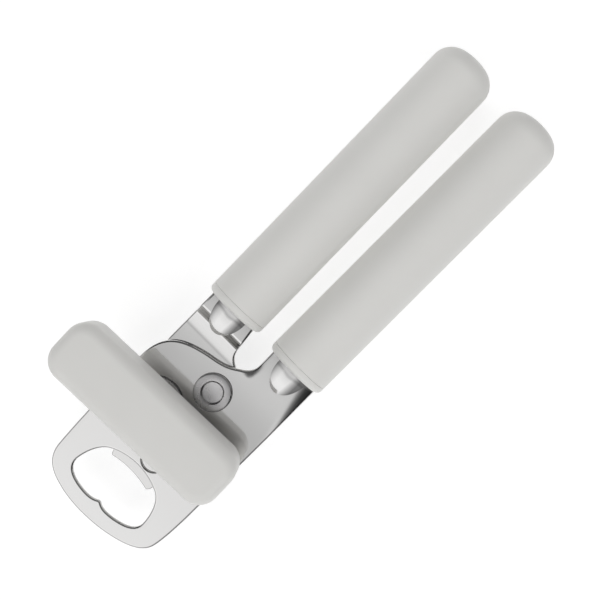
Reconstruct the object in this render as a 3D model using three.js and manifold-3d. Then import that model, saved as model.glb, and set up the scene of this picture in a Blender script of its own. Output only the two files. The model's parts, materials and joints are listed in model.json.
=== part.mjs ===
// Manual can opener with a bottle opener in its nose.
//
// Millimetres, +Z up towards the knob. The opener is drawn from the axis of its pivot rivet, with +X
// towards the handles and +Y towards the upper handle, and is moved at the end so that its origin is
// the middle of its underside. It lies on its back, closed.
//
// Two flat steel arms cross at the pivot. The front arm carries the lower handle, the bottle opener
// and the drive shaft, with the knob in front and the drive gear and feed wheel behind. The rear arm
// carries the upper handle and the cutter, whose gear meshes with the drive gear while closed.

import * as THREE from 'three';
import { mergeVertices } from 'three/addons/utils/BufferGeometryUtils.js';
import Module from 'manifold-3d';

const wasm = await Module();
wasm.setup();

// ---------------------------------------------------------------------------------------------
// Driving dimensions
// ---------------------------------------------------------------------------------------------

const sheet = 2;                 // thickness of both steel arms
const gap = 0.3;                 // between pieces that rest on or pass each other
const running = 0.1;             // radial clearance of a turning bore
const roundSegments = 32;        // facets around a full turn

// Heights of the faces of each layer, from the front of the front plate down to the cutter stud.
const frontFace = sheet / 2;
const frontBack = -sheet / 2;
const rearFace = frontBack - gap;
const rearBack = rearFace - sheet;
const gearFace = rearBack - gap;
const gearBack = gearFace - 3;
const wheelFace = gearBack - gap;
const wheelBack = wheelFace - 2.3;
const bladeFace = wheelBack - gap;
const bladeBack = bladeFace - 1.4;

// Axes, seen from the front.
const driveAxis = { x: -18.0, y: 11.6 };
const cutterAxis = { x: -18.0, y: -5.2 };
const gearTeeth = 12;
const pitchRadius = (driveAxis.y - cutterAxis.y) / 2;

// Handles.
const handleRadius = 11.9;
const handleSegments = 40;
const handleLength = 121.5;
const handleStart = 25.6;        // X of the plate end of both handles
const collarLength = 3.0;
const boreRadius = 9.4;          // bore of a grip
const lowerHandle = { y: -14.9, turn: THREE.MathUtils.degToRad(0.11) };
const upperHandle = { y: 15.1, turn: THREE.MathUtils.degToRad(0.93) };

// Tang: the stretch of each plate that runs into a handle.
const tangLength = 47;           // inside the handle
const tangHalfWidth = 7;
const shoulderDepth = 1.9;       // how far the full width enters the collar
const shoulderHalfWidth = 10.5;
const channel = { halfWidth: 6.4, noseLength: 9.5, height: 3.0, frontX: -10.3 };

// Knob.
const knob = { length: 74, width: 22.4, bottom: 8, top: 27, corner: 7.5, edge: 4.2 };
const knobTurn = THREE.MathUtils.degToRad(1.7);
const hubRadius = 9;

// Shafts.
const shaftRadius = 3.5;
const squareHalf = 2.45;         // half of the square that drives the gear and the feed wheel
const journalRadius = 3.0;       // cutter stud
const rivetRadius = 4.0;         // shank of the pivot rivet

// ---------------------------------------------------------------------------------------------
// Solids
// ---------------------------------------------------------------------------------------------

/** A closed three.js geometry as a solid that can be cut and joined. */
function solid(geometry) {
  const bare = geometry.index ? geometry.toNonIndexed() : geometry.clone();
  bare.deleteAttribute('normal');
  bare.deleteAttribute('uv');
  const merged = mergeVertices(bare, 1e-4);
  return new wasm.Manifold(new wasm.Mesh({
    numProp: 3,
    vertProperties: new Float32Array(merged.attributes.position.array),
    triVerts: new Uint32Array(merged.index.array),
  }));
}

/** A solid back as a three.js geometry. */
function geometryOf(body) {
  const mesh = body.getMesh();
  const geometry = new THREE.BufferGeometry();
  geometry.setAttribute('position', new THREE.BufferAttribute(mesh.vertProperties, 3));
  geometry.setIndex(new THREE.BufferAttribute(mesh.triVerts, 1));
  geometry.computeVertexNormals();
  return geometry;
}

/** A flat outline between two heights. */
function prism(outline, bottom, top, curveSegments = 6) {
  const geometry = new THREE.ExtrudeGeometry(outline, {
    depth: top - bottom,
    bevelEnabled: false,
    curveSegments,
  });
  return geometry.translate(0, 0, bottom);
}

/** A round bar along Z. */
function bar(radius, bottom, top, segments = roundSegments) {
  const geometry = new THREE.CylinderGeometry(radius, radius, top - bottom, segments);
  return geometry.rotateX(Math.PI / 2).translate(0, 0, (top + bottom) / 2);
}

/** A box from its two corners. */
function block(low, high) {
  const size = high.map((value, axis) => value - low[axis]);
  const middle = high.map((value, axis) => (value + low[axis]) / 2);
  return new THREE.BoxGeometry(...size).translate(...middle);
}

/** A profile of [radius, height] pairs turned around Z. It starts and ends on the axis. */
function turned(profile, segments = roundSegments) {
  const points = profile.map(([radius, height]) => new THREE.Vector2(radius, height));
  return new THREE.LatheGeometry(points, segments).rotateX(Math.PI / 2);
}

/** A ring with a rectangular section. */
function ring(inner, outer, bottom, top) {
  return solid(bar(outer, bottom, top)).subtract(solid(bar(inner, bottom - 1, top + 1)));
}

/** Points on an arc, as [x, y] pairs, ends included. */
function arc(centre, radius, from, to, steps) {
  return Array.from({ length: steps + 1 }, (_, step) => {
    const angle = from + (to - from) * (step / steps);
    return [centre[0] + radius * Math.cos(angle), centre[1] + radius * Math.sin(angle)];
  });
}

function move(geometry, place) {
  return geometry.translate(place.x, place.y, 0);
}

// ---------------------------------------------------------------------------------------------
// Arms
// ---------------------------------------------------------------------------------------------

/** Puts a shape drawn from a handle's mouth, along +X, where that handle is. */
function atHandle(geometry, handle) {
  return geometry.rotateZ(handle.turn).translate(handleStart, handle.y, 0);
}

/** A bullet along +X: a rounded nose, then a straight body of the given half width and height. */
function bullet(halfWidth, height, noseLength, frontX, endX) {
  const noseSteps = 8;
  const profile = [];
  for (let step = 0; step <= noseSteps; step += 1) {
    const angle = (Math.PI / 2) * (step / noseSteps);
    profile.push([halfWidth * Math.sin(angle), noseLength * (1 - Math.cos(angle))]);
  }
  profile.push([halfWidth, endX - frontX], [0, endX - frontX]);
  const points = profile.map(([radius, along]) => new THREE.Vector2(radius, along));
  return new THREE.LatheGeometry(points, 24)
    .rotateZ(-Math.PI / 2)
    .scale(1, 1, height / halfWidth)
    .translate(frontX, 0, 0);
}

/** Joins a tang, with its half-round channel, to a plate that already ends in its shoulders. */
function withTang(plate, handle) {
  const { halfWidth, height, noseLength, frontX } = channel;
  const wall = 1.7;
  const strip = block([0, -tangHalfWidth, frontBack], [tangLength, tangHalfWidth, frontFace]);
  const outside = bullet(halfWidth, height, noseLength, frontX, tangLength);
  const inside = bullet(halfWidth - wall, height - wall, noseLength - wall, frontX + wall, tangLength + 1);
  const below = block([frontX - 1, -9, -9], [tangLength + 2, 9, frontBack]);
  const place = (geometry) => solid(atHandle(geometry, handle));
  return plate
    .add(place(strip))
    .add(place(outside))
    .subtract(place(inside))
    .subtract(place(below));
}

/** Nose, S-shaped edge and shoulders of the front arm. */
function frontOutline() {
  const shoulder = handleStart + shoulderDepth;
  const outline = new THREE.Shape();
  outline.moveTo(shoulder, lowerHandle.y - shoulderHalfWidth);
  outline.lineTo(-38.6, -25.2);
  outline.bezierCurveTo(-45.7, -25.0, -50.9, -24.7, -54.3, -23.8);
  outline.bezierCurveTo(-58.4, -22.4, -60.3, -18.0, -61.5, -14.0);
  outline.bezierCurveTo(-64.4, -4.6, -64.7, 8.1, -62.1, 16.2);
  outline.bezierCurveTo(-60.5, 21.9, -57.8, 25.2, -52.5, 26.0);
  outline.bezierCurveTo(-45.7, 26.6, -30.4, 27.4, -9.1, 27.5);
  outline.bezierCurveTo(3.6, 27.5, 6.3, 19.9, 8.4, 11.0);
  outline.bezierCurveTo(9.2, 6.6, 9.6, 3.6, 11.7, 0.4);
  outline.bezierCurveTo(13.7, -2.6, 14.7, -4.9, 18.6, -4.9);
  outline.lineTo(shoulder, -4.7);
  return outline;
}

/** Opening of the bottle opener: a rounded loop with a small catch in the middle of its left side. */
function capOpening() {
  const opening = new THREE.Shape();
  opening.moveTo(-51.2, 17.4);
  opening.bezierCurveTo(-46.3, 16.8, -41.3, 14.5, -39.8, 10.9);
  opening.bezierCurveTo(-36.8, 5.0, -36.7, -3.0, -39.5, -9.1);
  opening.bezierCurveTo(-41.0, -13.7, -46.8, -15.1, -50.9, -15.3);
  opening.bezierCurveTo(-54.9, -15.3, -56.2, -10.5, -56.9, -6.7);
  opening.bezierCurveTo(-57.4, -3.2, -57.4, -1.4, -56.2, 0.4);
  opening.bezierCurveTo(-56.0, 0.8, -56.0, 1.4, -56.2, 1.8);
  opening.bezierCurveTo(-57.6, 4.0, -57.5, 6.7, -57.0, 10.1);
  opening.bezierCurveTo(-56.4, 13.5, -55.2, 17.4, -51.2, 17.4);
  return opening;
}

/** Lip that hooks under a bottle cap, set back from the plate along the right of the opening. */
function capLip() {
  const lip = new THREE.Shape();
  lip.moveTo(-41.8, 9.5);
  lip.bezierCurveTo(-40.5, 4.6, -40.5, -2.0, -42.0, -7.5);
  lip.lineTo(-38.2, -8.8);
  lip.lineTo(-36.9, -6.5);
  lip.lineTo(-36.9, 7.6);
  lip.lineTo(-38.2, 10.4);
  lip.closePath();
  return prism(lip, frontBack - 1.4, frontBack + 0.2, 8);
}

/** Tab pushed back out of a round hole beside the knob, which keeps the can's rim in place. */
function rimGuide(plate) {
  const middle = { x: -31.8, y: -2.2 };
  const holeRadius = 5.0;
  const tabRadius = 4.1;
  const rootX = middle.x + 3.2;
  const tabBack = frontBack - 2.2;
  const disc = move(bar(holeRadius, frontBack - 1, frontFace + 1, 32), middle);
  const open = block([middle.x - 9, middle.y - 9, frontBack - 1], [rootX, middle.y + 9, frontFace + 1]);
  const tab = move(bar(tabRadius, tabBack, frontBack - 0.6, 32), middle);
  const bend = block([rootX - 1.6, middle.y - 3, tabBack], [rootX + 0.9, middle.y + 3, frontBack + 0.4]);
  const behind = block([rootX + 0.9, middle.y - 9, tabBack - 1], [middle.x + 9, middle.y + 9, frontBack]);
  return plate
    .subtract(solid(disc).intersect(solid(open)))
    .add(solid(tab).subtract(solid(behind)))
    .add(solid(bend));
}

function frontPlate() {
  let plate = solid(prism(frontOutline(), frontBack, frontFace, 8));
  plate = plate.subtract(solid(prism(capOpening(), frontBack - 1, frontFace + 1, 8)));
  plate = plate.add(solid(capLip()));
  plate = rimGuide(plate);
  plate = plate.subtract(solid(bar(rivetRadius + gap, frontBack - 1, frontFace + 1)));
  plate = plate.subtract(solid(move(bar(bush.outer + gap, frontBack - 1, frontFace + 1), driveAxis)));
  return withTang(plate, lowerHandle);
}

/** Outline of the rear arm: handle end, pivot boss and jaw. */
function rearOutline() {
  const shoulder = handleStart + shoulderDepth;
  const top = 24.9;
  const jawRadius = 6.3;
  const bossRadius = jawRadius - cutterAxis.y;
  const outline = new THREE.Shape();
  outline.moveTo(shoulder, 5.5);
  outline.lineTo(17.6, 4.3);
  outline.bezierCurveTo(14.6, 4.0, 13.4, 3.2, 12.0, 0.8);
  outline.absarc(0, 0, bossRadius, 0, -Math.PI / 2, true);
  outline.absarc(cutterAxis.x, cutterAxis.y, jawRadius, -Math.PI / 2, Math.PI * 0.44, true);
  outline.bezierCurveTo(-9.5, 4.8, -3.2, 8.6, -2.2, 16.0);
  outline.bezierCurveTo(-1.8, 21.0, -2.0, top, 3.0, top);
  outline.lineTo(shoulder, top);
  return outline;
}

/** The rear arm is flat behind the front one, then steps forward to the handle's middle. */
function rearPlate() {
  const stepStart = 16.2;
  const stepEnd = 19.8;
  const back = -30;
  const front = handleStart + shoulderDepth + 1;
  const side = new THREE.Shape();
  side.moveTo(back, rearBack);
  side.lineTo(stepStart + 0.6, rearBack);
  side.lineTo(stepEnd + 0.6, frontBack);
  side.lineTo(front, frontBack);
  side.lineTo(front, frontFace);
  side.lineTo(stepEnd, frontFace);
  side.lineTo(stepStart, rearFace);
  side.lineTo(back, rearFace);
  const width = 60;
  const stepped = new THREE.ExtrudeGeometry(side, { depth: width, bevelEnabled: false });
  stepped.rotateX(Math.PI / 2).translate(0, width / 2, 0);

  let plate = solid(prism(rearOutline(), rearBack - 1, frontFace + 1, 8)).intersect(solid(stepped));
  plate = plate.subtract(solid(bar(rivetRadius + running, rearBack - 1, rearFace + 1)));
  plate = plate.subtract(
    solid(move(bar(journalRadius + gap, rearBack - 1, rearFace + 1), cutterAxis)),
  );
  return withTang(plate, upperHandle);
}

// ---------------------------------------------------------------------------------------------
// Pivot
// ---------------------------------------------------------------------------------------------

const pivotWasher = { outer: 6.5, thickness: 0.8 };

function pivotRivet() {
  const headRadius = 7.0;
  const headBottom = frontFace + gap;
  const headTop = headBottom + 1.2;
  const recessRadius = 4.1;
  const recessDepth = 0.9;
  const endFace = rearBack - gap - pivotWasher.thickness - gap;
  const endRadius = 5.2;
  const endBack = endFace - 1.2;
  return turned([
    [0, endBack],
    [endRadius - 0.6, endBack],
    [endRadius, endBack + 0.5],
    [endRadius, endFace],
    [rivetRadius, endFace],
    [rivetRadius, headBottom],
    [headRadius, headBottom],
    [headRadius, headTop - 0.3],
    [headRadius - 0.3, headTop],
    [recessRadius, headTop],
    [recessRadius - 0.3, headTop - recessDepth],
    [0, headTop - recessDepth],
  ]);
}

function pivotWasherRing() {
  const top = rearBack - gap;
  return ring(rivetRadius + running, pivotWasher.outer, top - pivotWasher.thickness, top);
}

// ---------------------------------------------------------------------------------------------
// Drive: knob, shaft, gear and feed wheel
// ---------------------------------------------------------------------------------------------

const bush = { outer: 5.0, flange: 5.9, flangeTop: frontFace + gap + 1.0 };
const knobWasher = { radius: 11.8, bottom: bush.flangeTop + gap, thickness: 0.7 };
const hubBottom = knobWasher.bottom + knobWasher.thickness + gap;
const shaftEnd = { washer: 0.5, head: 1.0, radius: 4.6 };
const shaftTop = 19;

function shaftBush() {
  const rearFlange = ring(shaftRadius + running, 5.5, rearBack, rearFace);
  const sleeve = ring(shaftRadius + running, bush.outer, rearFace - 0.1, bush.flangeTop);
  const frontFlange = ring(shaftRadius + running, bush.flange, frontFace + gap, bush.flangeTop);
  return sleeve.add(rearFlange).add(frontFlange);
}

function driveShaft() {
  const headFace = bladeFace - shaftEnd.washer - gap;
  const head = solid(bar(shaftEnd.radius, headFace - shaftEnd.head, headFace));
  const square = solid(block(
    [-squareHalf, -squareHalf, headFace - 0.1],
    [squareHalf, squareHalf, gearFace + 0.1],
  ));
  const journal = solid(bar(shaftRadius, gearFace + 0.05, shaftTop));
  return head.add(square).add(journal);
}

/** Square hole, through whatever sits on the drive shaft's square. */
function squareHole(bottom, top) {
  const half = squareHalf + gap;
  return solid(block([-half, -half, bottom - 1], [half, half, top + 1]));
}

/** A spur gear with involute flanks; offset turns its first tooth from +X, in tooth pitches. */
function gear(offset) {
  const module = (2 * pitchRadius) / gearTeeth;
  const outerRadius = pitchRadius + 0.85 * module;
  const rootRadius = pitchRadius - 1.1 * module;
  const pressureAngle = THREE.MathUtils.degToRad(20);
  const baseRadius = pitchRadius * Math.cos(pressureAngle);
  const involute = (angle) => Math.tan(angle) - angle;
  const halfTooth = Math.PI / (2 * gearTeeth) - THREE.MathUtils.degToRad(1.0);
  const halfAngle = (radius) => {
    const angle = Math.acos(Math.min(1, baseRadius / radius));
    return halfTooth + involute(pressureAngle) - involute(angle);
  };
  const flankSteps = 4;
  const flank = [[rootRadius, halfAngle(baseRadius)]];
  for (let step = 0; step <= flankSteps; step += 1) {
    const radius = baseRadius + (outerRadius - baseRadius) * (step / flankSteps);
    flank.push([radius, halfAngle(radius)]);
  }
  const points = [];
  for (let tooth = 0; tooth < gearTeeth; tooth += 1) {
    const middle = (2 * Math.PI * (tooth + offset)) / gearTeeth;
    const polar = (radius, angle) => {
      points.push(new THREE.Vector2(radius * Math.cos(angle), radius * Math.sin(angle)));
    };
    flank.forEach(([radius, half]) => polar(radius, middle - half));
    [...flank].reverse().forEach(([radius, half]) => polar(radius, middle + half));
  }
  return solid(prism(new THREE.Shape(points), gearBack, gearFace));
}

function driveGear() {
  return gear(0).subtract(squareHole(gearBack, gearFace));
}

/** Serrated wheel that grips the underside of the can's rim. */
function feedWheel() {
  const teeth = 24;
  const tipRadius = 8.0;
  const rootRadius = 7.1;
  const points = [];
  for (let tooth = 0; tooth < teeth; tooth += 1) {
    [[tipRadius, -0.1], [tipRadius, 0.1], [rootRadius, 0.42], [rootRadius, 0.58]].forEach(([radius, part]) => {
      const angle = (2 * Math.PI * (tooth + part)) / teeth;
      points.push(new THREE.Vector2(radius * Math.cos(angle), radius * Math.sin(angle)));
    });
  }
  const wheel = solid(prism(new THREE.Shape(points), wheelBack, wheelFace));
  return wheel.subtract(squareHole(wheelBack, wheelFace));
}

function shaftEndWasher() {
  const washer = solid(bar(5.9, bladeFace - shaftEnd.washer, bladeFace));
  return washer.subtract(squareHole(bladeFace - shaftEnd.washer, bladeFace));
}

function knobWasherRing() {
  return ring(shaftRadius + gap, knobWasher.radius, knobWasher.bottom, knobWasher.bottom + knobWasher.thickness);
}

/** A rectangle with round corners, around the origin, long in Y. */
function oblong(width, length, corner) {
  const halfWidth = width / 2 - corner;
  const halfLength = length / 2 - corner;
  const outline = new THREE.Shape();
  outline.absarc(halfWidth, halfLength, corner, 0, Math.PI / 2);
  outline.absarc(-halfWidth, halfLength, corner, Math.PI / 2, Math.PI);
  outline.absarc(-halfWidth, -halfLength, corner, Math.PI, Math.PI * 1.5);
  outline.absarc(halfWidth, -halfLength, corner, Math.PI * 1.5, Math.PI * 2);
  return outline;
}

const knobCore = { length: 62, width: 14, corner: 4, top: knob.top - 4 };

/** Soft outer shell of the knob, open underneath for the core. */
function knobShell() {
  const { edge } = knob;
  const body = new THREE.ExtrudeGeometry(
    oblong(knob.width - 2 * edge, knob.length - 2 * edge, knob.corner - edge),
    {
      depth: knob.top - knob.bottom - 2 * edge,
      bevelEnabled: true,
      bevelThickness: edge,
      bevelSize: edge,
      bevelSegments: 4,
      curveSegments: 8,
    },
  );
  body.translate(0, 0, knob.bottom + edge);
  const cavity = prism(
    oblong(knobCore.width + 2 * gap, knobCore.length + 2 * gap, knobCore.corner + gap),
    knob.bottom - 1,
    knobCore.top + gap,
    4,
  );
  return solid(body).subtract(solid(cavity));
}

/** Stiff insert of the knob, with its hub and the blind hole that holds the shaft. */
function knobInsert() {
  const insert = prism(
    oblong(knobCore.width, knobCore.length, knobCore.corner),
    knob.bottom,
    knobCore.top,
    4,
  );
  const hub = bar(hubRadius, hubBottom, knob.bottom - gap);
  const neck = bar(knobCore.width / 2 - 0.5, hubBottom + 0.1, knob.bottom + 1);
  const hole = bar(shaftRadius + gap, hubBottom - 1, shaftTop + gap);
  return solid(insert).add(solid(hub)).add(solid(neck)).subtract(solid(hole));
}

// ---------------------------------------------------------------------------------------------
// Cutter: stud, gear, spacer and blade
// ---------------------------------------------------------------------------------------------

function cutterStud() {
  const headFace = bladeBack - gap;
  const headRadius = 5.2;
  return turned([
    [0, headFace - 1.1],
    [headRadius - 0.5, headFace - 1.1],
    [headRadius, headFace - 0.6],
    [headRadius, headFace],
    [journalRadius, headFace],
    [journalRadius, rearFace],
    [0, rearFace],
  ]);
}

function cutterBore() {
  return solid(bar(journalRadius + running, bladeBack - 1, gearFace + 1));
}

function cutterGear() {
  return gear(0.5).subtract(cutterBore());
}

function cutterSpacer() {
  return ring(journalRadius + running, 5.6, wheelBack, wheelFace);
}

/** Round blade, ground to an edge on the side away from the feed wheel. */
function cutterWheel() {
  const edgeRadius = 9.8;
  const grindRadius = 7.0;
  const blade = turned([
    [0, bladeBack],
    [grindRadius, bladeBack],
    [edgeRadius, bladeFace - 0.25],
    [edgeRadius, bladeFace],
    [0, bladeFace],
  ], 60);
  return solid(blade).subtract(cutterBore());
}

// ---------------------------------------------------------------------------------------------
// Handles, drawn from the mouth along +X
// ---------------------------------------------------------------------------------------------

/** A profile of [along, radius] pairs turned around X. It starts and ends on the axis. */
function turnedAlong(profile) {
  const points = profile.map(([along, radius]) => new THREE.Vector2(radius, along));
  return new THREE.LatheGeometry(points, handleSegments).rotateZ(-Math.PI / 2);
}

/** Long soft grip: straight, with a round-cornered, slightly crowned far end and an open bore. */
function handleGrip() {
  const cornerRadius = 7.5;
  const crown = 0.8;
  const start = collarLength + gap;
  const corner = arc(
    [handleLength - crown - cornerRadius, handleRadius - cornerRadius], cornerRadius, Math.PI / 2, 0, 7,
  );
  const outside = turnedAlong([
    [start, 0],
    [start, handleRadius - 0.2],
    [start + 0.4, handleRadius],
    ...corner,
    [handleLength - crown / 4, (handleRadius - cornerRadius) / 2],
    [handleLength, 0],
  ]);
  const boreEnd = handleLength - 7;
  const bore = turnedAlong([[start - 1, 0], [start - 1, boreRadius], [boreEnd, boreRadius], [boreEnd, 0]]);
  return solid(outside).subtract(solid(bore));
}

/** Room for the channelled strip of a tang. */
function tangRoom(from, to) {
  return solid(block(
    [from, -tangHalfWidth - gap, frontBack - gap],
    [to, tangHalfWidth + gap, channel.height + gap],
  ));
}

/** Ring that closes the plate end of a handle, slotted for the tang and its shoulders. */
function handleCollar() {
  const edge = arc([1.8, handleRadius - 1.8], 1.8, Math.PI, Math.PI / 2, 5);
  const body = turnedAlong([
    [0, 0],
    ...edge,
    [collarLength - 0.4, handleRadius],
    [collarLength, handleRadius - 0.2],
    [collarLength, 0],
  ]);
  const shoulders = block(
    [-1, -shoulderHalfWidth - gap, frontBack - gap],
    [shoulderDepth + gap, shoulderHalfWidth + gap, frontFace + gap],
  );
  return solid(body).subtract(solid(shoulders)).subtract(tangRoom(-1, collarLength + 1));
}

/** Stiff insert that fills a grip behind its collar and takes the tang. */
function handleCore() {
  const start = collarLength + gap;
  const end = handleLength - 7 - gap;
  const radius = boreRadius - gap;
  const body = turnedAlong([[start, 0], [start, radius], [end - 1, radius], [end, radius - 1], [end, 0]]);
  return solid(body).subtract(tangRoom(start - 1, tangLength + gap));
}

// ---------------------------------------------------------------------------------------------
// Assembly
// ---------------------------------------------------------------------------------------------

const polishedSteel = new THREE.MeshStandardMaterial({ color: 0xc4c4c4, roughness: 0.12, metalness: 1 });
const turnedSteel = new THREE.MeshStandardMaterial({ color: 0xb8b6b6, roughness: 0.3, metalness: 1 });
const toolSteel = new THREE.MeshStandardMaterial({ color: 0xa8a8a6, roughness: 0.4, metalness: 1 });
const softGrip = new THREE.MeshStandardMaterial({ color: 0xdcdbd6, roughness: 0.6, metalness: 0 });
const nylon = new THREE.MeshStandardMaterial({ color: 0xc8c7c2, roughness: 0.5, metalness: 0 });

/** A named mesh from a solid or a plain geometry. */
function piece(name, shape, material) {
  const geometry = shape instanceof THREE.BufferGeometry ? geometryOf(solid(shape)) : geometryOf(shape);
  const mesh = new THREE.Mesh(geometry, material);
  mesh.name = name;
  return mesh;
}

/** A group of pieces that share an axis. */
function group(place, pieces) {
  const holder = new THREE.Group();
  holder.position.set(place.x, place.y, 0);
  holder.add(...pieces);
  return holder;
}

function handle(side, place) {
  const holder = group({ x: handleStart, y: place.y }, [
    piece(`${side}_handle_grip`, handleGrip(), softGrip),
    piece(`${side}_handle_collar`, handleCollar(), softGrip),
    piece(`${side}_handle_core`, handleCore(), nylon),
  ]);
  holder.rotation.z = place.turn;
  return holder;
}

const knobGroup = group(driveAxis, [
  piece('knob_shell', knobShell(), softGrip),
  piece('knob_core', knobInsert(), nylon),
]);
knobGroup.rotation.z = knobTurn;

const opener = new THREE.Group();
opener.add(
  piece('front_plate', frontPlate(), polishedSteel),
  piece('rear_plate', rearPlate(), polishedSteel),
  piece('pivot_rivet', pivotRivet(), turnedSteel),
  piece('pivot_washer', pivotWasherRing(), turnedSteel),
  group(driveAxis, [
    piece('shaft_bush', shaftBush(), nylon),
    piece('drive_shaft', driveShaft(), turnedSteel),
    piece('drive_gear', driveGear(), toolSteel),
    piece('feed_wheel', feedWheel(), toolSteel),
    piece('shaft_end_washer', shaftEndWasher(), turnedSteel),
    piece('knob_washer', knobWasherRing(), turnedSteel),
  ]),
  group(cutterAxis, [
    piece('cutter_stud', cutterStud(), turnedSteel),
    piece('cutter_gear', cutterGear(), toolSteel),
    piece('cutter_spacer', cutterSpacer(), turnedSteel),
    piece('cutter_wheel', cutterWheel(), toolSteel),
  ]),
  knobGroup,
  handle('lower', lowerHandle),
  handle('upper', upperHandle),
);

// The origin goes to the middle of the underside.
const bounds = new THREE.Box3().setFromObject(opener, true);
const middle = bounds.getCenter(new THREE.Vector3());
opener.position.set(-middle.x, -middle.y, -bounds.min.z);
opener.updateMatrixWorld(true);

export default opener;
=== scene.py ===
"""Looks of a manual can opener, built around its mechanical model.

Every piece is drawn in millimetres from the axis of the pivot rivet, with +X towards the handles, +Y
towards the upper handle and +Z towards the knob. It is then put in the model's own frame, in
metres.
"""

import json
import math
from functools import cache

import bmesh
import bpy
from bpy.props import FloatProperty, FloatVectorProperty, IntProperty, PointerProperty
from mathutils import Matrix, Vector
from mathutils.geometry import interpolate_bezier


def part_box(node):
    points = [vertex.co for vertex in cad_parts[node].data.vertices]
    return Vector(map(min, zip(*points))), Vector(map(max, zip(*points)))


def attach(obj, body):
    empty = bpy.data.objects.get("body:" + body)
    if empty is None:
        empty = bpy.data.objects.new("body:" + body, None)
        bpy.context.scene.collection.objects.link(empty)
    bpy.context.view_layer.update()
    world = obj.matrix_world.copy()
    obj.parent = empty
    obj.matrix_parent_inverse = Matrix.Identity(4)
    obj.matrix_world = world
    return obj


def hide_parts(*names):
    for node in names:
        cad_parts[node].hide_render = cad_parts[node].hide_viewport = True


bl_info = {
    "name": "Can Opener",
    "version": (1, 0, 0),
    "blender": (4, 5, 0),
    "location": "3D View > Sidebar > Can Opener",
    "description": "Builds the visible pieces of a manual can opener around its mechanical frame",
    "category": "Object",
}

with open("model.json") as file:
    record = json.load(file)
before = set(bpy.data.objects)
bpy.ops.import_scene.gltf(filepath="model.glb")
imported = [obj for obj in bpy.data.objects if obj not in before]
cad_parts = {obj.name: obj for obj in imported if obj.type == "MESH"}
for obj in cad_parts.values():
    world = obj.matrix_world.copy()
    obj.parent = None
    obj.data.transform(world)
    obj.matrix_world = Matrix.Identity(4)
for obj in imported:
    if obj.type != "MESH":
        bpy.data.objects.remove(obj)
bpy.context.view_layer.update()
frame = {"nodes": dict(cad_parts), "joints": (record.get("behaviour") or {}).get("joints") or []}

MM = 0.001
JOINT_PLACES = {joint["name"]: Vector(joint["pos_m"]) for joint in frame["joints"]}
PIVOT = JOINT_PLACES["arms_open"]


def from_pivot(point):
    """A point of the model's frame, in millimetres from the pivot."""
    return (Vector(point) - PIVOT) / MM


@cache
def extent(node):
    """Lowest and highest corner of a CAD node, in millimetres from the pivot."""
    low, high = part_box(node)
    return from_pivot(low), from_pivot(high)


def heights(node):
    """Bottom and top of a CAD node, in millimetres from the middle of the front plate."""
    low, high = extent(node)
    return low.z, high.z


def radius_of(node):
    """Radius of a round CAD node that stands on Z."""
    low, high = extent(node)
    return (high.y - low.y) / 2


DRIVE = from_pivot(JOINT_PLACES["knob_turn"])
CUTTER = from_pivot(JOINT_PLACES["cutter_turn"])

# Arms.
SHEET = 2.0
SHEET_STEP = 2.3
TANG = {"length": 47.0, "half_width": 7.0, "shoulder": 1.9, "shoulder_half_width": 10.5}
CHANNEL = {
    "half_width": 6.4, "height": 2.6, "nose": 9.5, "front": -10.3, "wall": 1.7, "sunk": 0.05,
    "flatness": 2.5,
}
ARM_EDGE_STEPS = 8
ARM_CREASE = 16.0
RIM_GUIDE = {
    "x": -31.8, "y": -2.2, "hole": 5.0, "tab": 5.15, "root": 3.2, "half_root": 3.0, "drop": 1.7,
}

# Handles.
HANDLE_TURN = {"lower": math.radians(0.11), "upper": math.radians(0.93)}
HANDLE_BODY = {"lower": "front_arm", "upper": "rear_arm"}
COLLAR_LENGTH = 3.0
SEAM = 0.04
SEAM_EDGE = 0.14
GAP = 0.3

# Mechanism. A square hole is given by half its side.
GEAR_TEETH = 12
WHEEL_TEETH = 24
KNOB_TURN = math.radians(1.7)
KNOB_SLAB = {"length": 74.0, "width": 22.4}
KNOB_CORE = {"length": 62.0, "width": 14.0, "corner": 4.0, "top": 23.0}
KNOB_BORE = 3.8
KNOB_WASHER_MARGIN = 1.2
SQUARE_HOLE = 2.75
CUTTER_BORE = 3.1
RIVET_BORE = 4.1
WASHER_EDGE = 0.2
GEAR_EDGE = 0.25

# Finish.
MICRON = 0.000001


# -------------------------------------------------------------------------------------------------
# Settings
# -------------------------------------------------------------------------------------------------


class OpenerColours(bpy.types.PropertyGroup):
    """Colours of the finishes."""

    soft: FloatVectorProperty(
        name="Soft touch",
        description="Colour of the grips and the knob",
        subtype="COLOR",
        size=3,
        min=0.0,
        max=1.0,
        default=(0.685, 0.68, 0.66),
    )
    nylon: FloatVectorProperty(
        name="Nylon",
        description="Colour of the stiff inserts and the shaft bush",
        subtype="COLOR",
        size=3,
        min=0.0,
        max=1.0,
        default=(0.62, 0.615, 0.59),
    )
    polished: FloatVectorProperty(
        name="Polished steel",
        description="Colour of the arms",
        subtype="COLOR",
        size=3,
        min=0.0,
        max=1.0,
        default=(0.74, 0.735, 0.73),
    )
    turned: FloatVectorProperty(
        name="Turned steel",
        description="Colour of the rivet, washers, shaft and stud",
        subtype="COLOR",
        size=3,
        min=0.0,
        max=1.0,
        default=(0.66, 0.65, 0.655),
    )
    tool: FloatVectorProperty(
        name="Tool steel",
        description="Colour of the gears, the feed wheel and the blade",
        subtype="COLOR",
        size=3,
        min=0.0,
        max=1.0,
        default=(0.55, 0.55, 0.545),
    )


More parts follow.
